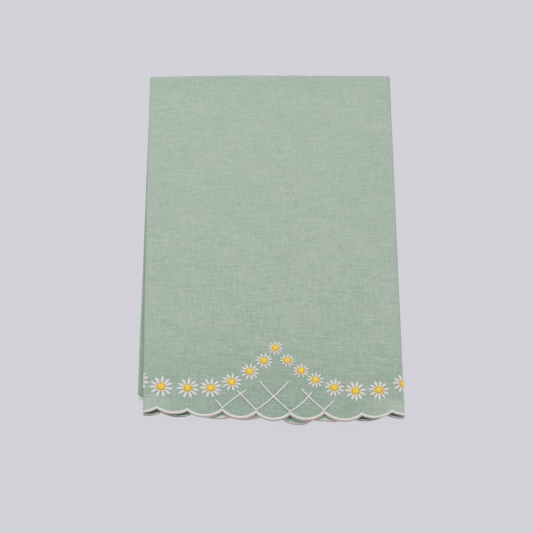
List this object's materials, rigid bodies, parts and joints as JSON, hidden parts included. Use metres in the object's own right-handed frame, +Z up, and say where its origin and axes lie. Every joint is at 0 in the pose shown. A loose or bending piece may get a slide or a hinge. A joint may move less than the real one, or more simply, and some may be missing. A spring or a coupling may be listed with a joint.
{
  "type": "guest towel",
  "caption": "Folded linen guest towel with scalloped, satin-stitched ends and an embroidered daisy and lattice border, lying flat to hang, hand out or set beside a basin.",
  "frame": {"origin": "on the surface that the towel lies on, under the middle of its outline", "axes": "+Y from the decorated hem to the top fold, the longest way; +X to the right as seen from above with the hem toward the viewer; +Z up through the folded layers, the shortest way"},
  "size_m": [0.1893, 0.2958, 0.0106],
  "materials": {
    "linen_green": "matt plain-woven linen, sage green",
    "thread_white": "soft satin-stitched white thread",
    "thread_yellow": "soft satin-stitched yellow thread"
  },
  "bodies": {
    "root": {"linen": "linen_green", "edging_front": "thread_white", "edging_back": "thread_white", "lattice": "thread_white", "daisy_01_petals": "thread_white", "daisy_01_centre": "thread_yellow", "daisy_02_petals": "thread_white", "daisy_02_centre": "thread_yellow", "daisy_03_petals": "thread_white", "daisy_03_centre": "thread_yellow", "daisy_04_petals": "thread_white", "daisy_04_centre": "thread_yellow", "daisy_05_petals": "thread_white", "daisy_05_centre": "thread_yellow", "daisy_06_petals": "thread_white", "daisy_06_centre": "thread_yellow", "daisy_07_petals": "thread_white", "daisy_07_centre": "thread_yellow", "daisy_08_petals": "thread_white", "daisy_08_centre": "thread_yellow", "daisy_09_petals": "thread_white", "daisy_09_centre": "thread_yellow", "daisy_10_petals": "thread_white", "daisy_10_centre": "thread_yellow", "daisy_11_petals": "thread_white", "daisy_11_centre": "thread_yellow", "daisy_12_petals": "thread_white", "daisy_12_centre": "thread_yellow", "daisy_13_petals": "thread_white", "daisy_13_centre": "thread_yellow", "daisy_14_petals": "thread_white", "daisy_14_centre": "thread_yellow", "daisy_15_petals": "thread_white", "daisy_15_centre": "thread_yellow"}
  },
  "joints": []
}
